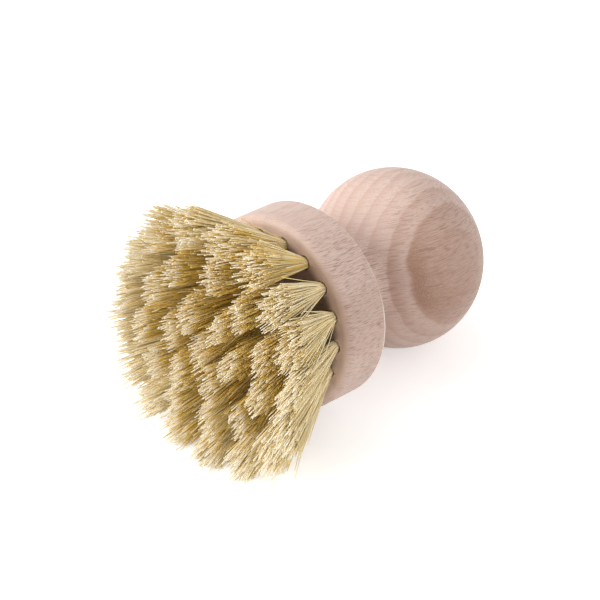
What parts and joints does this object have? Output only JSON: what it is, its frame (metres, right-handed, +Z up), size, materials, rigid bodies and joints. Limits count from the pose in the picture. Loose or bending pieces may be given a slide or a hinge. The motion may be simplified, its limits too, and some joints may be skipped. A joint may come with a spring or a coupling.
{
  "type": "pot brush",
  "caption": "Pot brush lying on its side: turned beech body with a thick round head, a waisted neck and a ball knob, and stiff plant-fibre tufts flaring from holes in the head.",
  "frame": {"origin": "on the surface that the brush lies on, under the middle of its bounding box", "axes": "+X level, from the knob towards the bristles; +Z up; the brush's own axis rises about 6.1 degrees towards the bristles"},
  "size_m": [0.1006, 0.0688, 0.0672],
  "materials": {
    "beech": "turned and sanded, unvarnished",
    "fibre": "stiff natural plant fibre, trimmed ends",
    "staple_wire": "drawn wire"
  },
  "bodies": {
    "root": {"handle": "beech", "tuft_centre": "fibre", "tuft_ring_1": "fibre", "tuft_ring_2": "fibre", "tuft_ring_3": "fibre", "staple_01": "staple_wire", "staple_02": "staple_wire", "staple_03": "staple_wire", "staple_04": "staple_wire", "staple_05": "staple_wire", "staple_06": "staple_wire", "staple_07": "staple_wire", "staple_08": "staple_wire", "staple_09": "staple_wire", "staple_10": "staple_wire", "staple_11": "staple_wire", "staple_12": "staple_wire", "staple_13": "staple_wire", "staple_14": "staple_wire", "staple_15": "staple_wire", "staple_16": "staple_wire", "staple_17": "staple_wire", "staple_18": "staple_wire", "staple_19": "staple_wire", "staple_20": "staple_wire", "staple_21": "staple_wire", "staple_22": "staple_wire", "staple_23": "staple_wire", "staple_24": "staple_wire", "staple_25": "staple_wire", "staple_26": "staple_wire", "staple_27": "staple_wire", "staple_28": "staple_wire", "staple_29": "staple_wire", "staple_30": "staple_wire", "staple_31": "staple_wire", "staple_32": "staple_wire", "staple_33": "staple_wire", "staple_34": "staple_wire", "staple_35": "staple_wire"}
  },
  "joints": []
}
